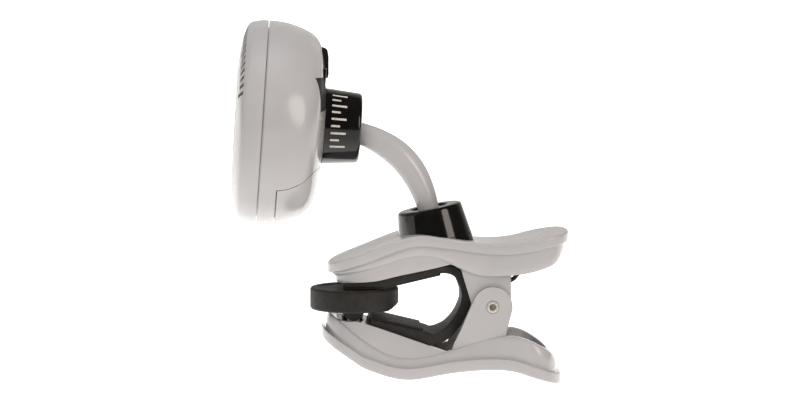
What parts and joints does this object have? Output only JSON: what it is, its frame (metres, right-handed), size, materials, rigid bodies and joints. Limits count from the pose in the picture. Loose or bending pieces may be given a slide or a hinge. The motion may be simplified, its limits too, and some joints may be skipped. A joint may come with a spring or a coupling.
{
  "type": "clip-on tuner",
  "caption": "Clip-on instrument tuner: sprung clamp with a rubber liner and swivel pad, a curved arm with a ball joint at each end, and an oval battery-powered display head.",
  "frame": {"origin": "middle of the swivel pad's grip face, where the clamp holds an instrument's headstock", "axes": "+X from the jaws to the squeeze handles, +Z from the clamp up to the head, +Y across the clamp"},
  "size_m": [0.0816, 0.057, 0.0881],
  "materials": {
    "body_abs": "satin-gloss light grey moulded ABS",
    "black_abs": "glossy black moulded ABS",
    "acetal": "black acetal bearing plastic",
    "rubber": "matte charcoal moulded rubber",
    "nickel": "bright nickel plate",
    "spring_steel": "black oxide spring wire",
    "lens_acrylic": "smoked acrylic window",
    "display_glass": "segment display glass",
    "diffuser": "white diffusing acrylic",
    "board": "green solder mask on glass-epoxy",
    "brass": "brass disc with a ceramic face",
    "cell_steel": "nickel-plated stamped steel"
  },
  "bodies": {
    "clamp_base": {"lower_jaw": "body_abs", "pivot_pin": "nickel", "torsion_spring": "spring_steel", "lower_liner": "rubber", "lower_grip": "rubber", "liner_bend": "rubber", "pad_pin": "nickel"},
    "pad": {"swivel_pad": "rubber", "pad_plate": "black_abs"},
    "top_lever": {"upper_jaw": "body_abs", "upper_liner": "rubber", "upper_grip": "rubber", "lower_collar": "black_abs", "lower_socket_plate": "body_abs", "lower_socket_screws": "nickel"},
    "lower_seat": {"lower_ball_seat": "acetal"},
    "arm": {"swivel_arm": "body_abs"},
    "upper_seat": {"upper_ball_seat": "acetal"},
    "head": {"upper_collar": "black_abs", "upper_socket_plate": "body_abs", "upper_socket_screws": "nickel", "rear_shell": "body_abs", "front_shell": "body_abs", "display_lens": "lens_acrylic", "display_panel": "display_glass", "light_diffuser": "diffuser", "circuit_board": "board", "board_chips": "black_abs", "piezo_sensor": "brass", "coin_battery": "cell_steel", "battery_positive_clip": "cell_steel", "battery_negative_spring": "cell_steel", "case_screws": "nickel", "control_panel": "black_abs", "slide_switch_body": "cell_steel", "button_switches": "black_abs", "power_switch": "cell_steel"},
    "door": {"battery_door": "body_abs"},
    "mode_knob": {"slide_knob": "black_abs"},
    "left_key": {"left_button": "black_abs"},
    "right_key": {"right_button": "black_abs"},
    "power_key": {"power_button": "black_abs"}
  },
  "joints": [
    {"name": "clamp_open", "type": "hinge", "parent": "clamp_base", "child": "top_lever", "pos_m": [0.033, 0, -0.00425], "axis": [0, 1, 0], "range_deg": [0, 42], "stiffness_Nm_per_rad": 0.15, "springref_deg": -51.57, "deforming": ["torsion_spring", "liner_bend"]},
    {"name": "pad_tilt", "type": "hinge", "parent": "clamp_base", "child": "pad", "pos_m": [-0.0004, 0, -0.007], "axis": [0, 1, 0], "range_deg": [0, 7]},
    {"name": "arm_spin", "type": "hinge", "parent": "top_lever", "child": "lower_seat", "pos_m": [0.019, 0, 0.015], "axis": [-0.1908, 0, 0.9816], "continuous": true},
    {"name": "arm_tilt", "type": "hinge", "parent": "lower_seat", "child": "arm", "pos_m": [0.019, 0, 0.015], "axis": [0, 1, 0], "range_deg": [-12, 15]},
    {"name": "head_tilt", "type": "hinge", "parent": "arm", "child": "upper_seat", "pos_m": [-0.00299, 0, 0.0387], "axis": [0, 1, 0], "range_deg": [-7, 28]},
    {"name": "head_spin", "type": "hinge", "parent": "upper_seat", "child": "head", "pos_m": [-0.00299, 0, 0.0387], "axis": [0.9976, 0, -0.0698], "continuous": true},
    {"name": "door_slide", "type": "slide", "parent": "head", "child": "door", "axis": [-0.0698, 0, -0.9976], "range_m": [0, 0.014]},
    {"name": "mode_slide", "type": "slide", "parent": "head", "child": "mode_knob", "axis": [0, 1, 0], "range_m": [-0.0015, 0.0015]},
    {"name": "left_press", "type": "slide", "parent": "head", "child": "left_key", "axis": [-0.9976, 0, 0.0698], "range_m": [0, 0.0005], "stiffness_N_per_m": 300, "springref_m": -0.0006},
    {"name": "right_press", "type": "slide", "parent": "head", "child": "right_key", "axis": [-0.9976, 0, 0.0698], "range_m": [0, 0.0005], "stiffness_N_per_m": 300, "springref_m": -0.0006},
    {"name": "power_press", "type": "slide", "parent": "head", "child": "power_key", "axis": [0.9976, 0, -0.0698], "range_m": [0, 0.0004], "stiffness_N_per_m": 300, "springref_m": -0.0006}
  ]
}
